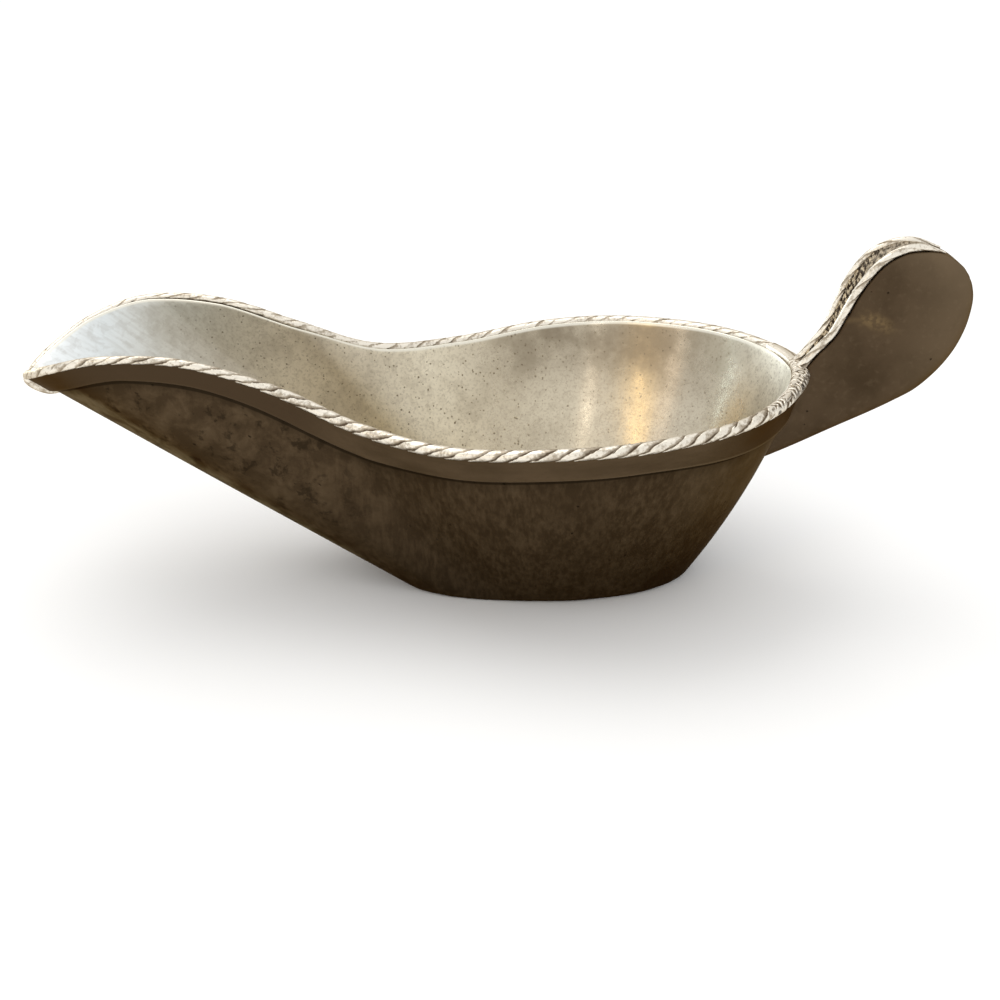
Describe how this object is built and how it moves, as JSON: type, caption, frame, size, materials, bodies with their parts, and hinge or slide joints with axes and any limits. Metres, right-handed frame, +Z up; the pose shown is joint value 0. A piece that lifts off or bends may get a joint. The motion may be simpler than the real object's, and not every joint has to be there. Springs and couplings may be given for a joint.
{
  "type": "sauce boat",
  "caption": "Footless sauce boat in pewter-coloured metal with a long spout, a rope-moulded rim and an upright leaf-shaped hollow handle.",
  "frame": {"origin": "centre of the flat oval base, on its underside", "axes": "+Z up, +X from the spout towards the handle, -Y is the left side"},
  "size_m": [0.2207, 0.0917, 0.0823],
  "materials": {
    "bowl_metal": "pewter-like white metal, dark brown patina outside and satin polish inside",
    "collar_metal": "pewter-like white metal, worn brown patina",
    "rope_metal": "pewter-like white metal, rubbed bright with dark in the grooves",
    "handle_metal": "pewter-like white metal, thin brown patina",
    "strip_metal": "pewter-like white metal, dark and pitted as cast"
  },
  "bodies": {
    "root": {"bowl_wall": "bowl_metal", "base_plate": "bowl_metal", "rim_collar": "collar_metal", "spout_lip": "rope_metal", "rim_rope_left": "rope_metal", "rim_rope_right": "rope_metal", "rim_saddle": "rope_metal", "handle_shell_left": "handle_metal", "handle_shell_right": "handle_metal", "handle_rope_left": "rope_metal", "handle_rope_right": "rope_metal", "handle_edge_strip": "strip_metal"}
  },
  "joints": []
}
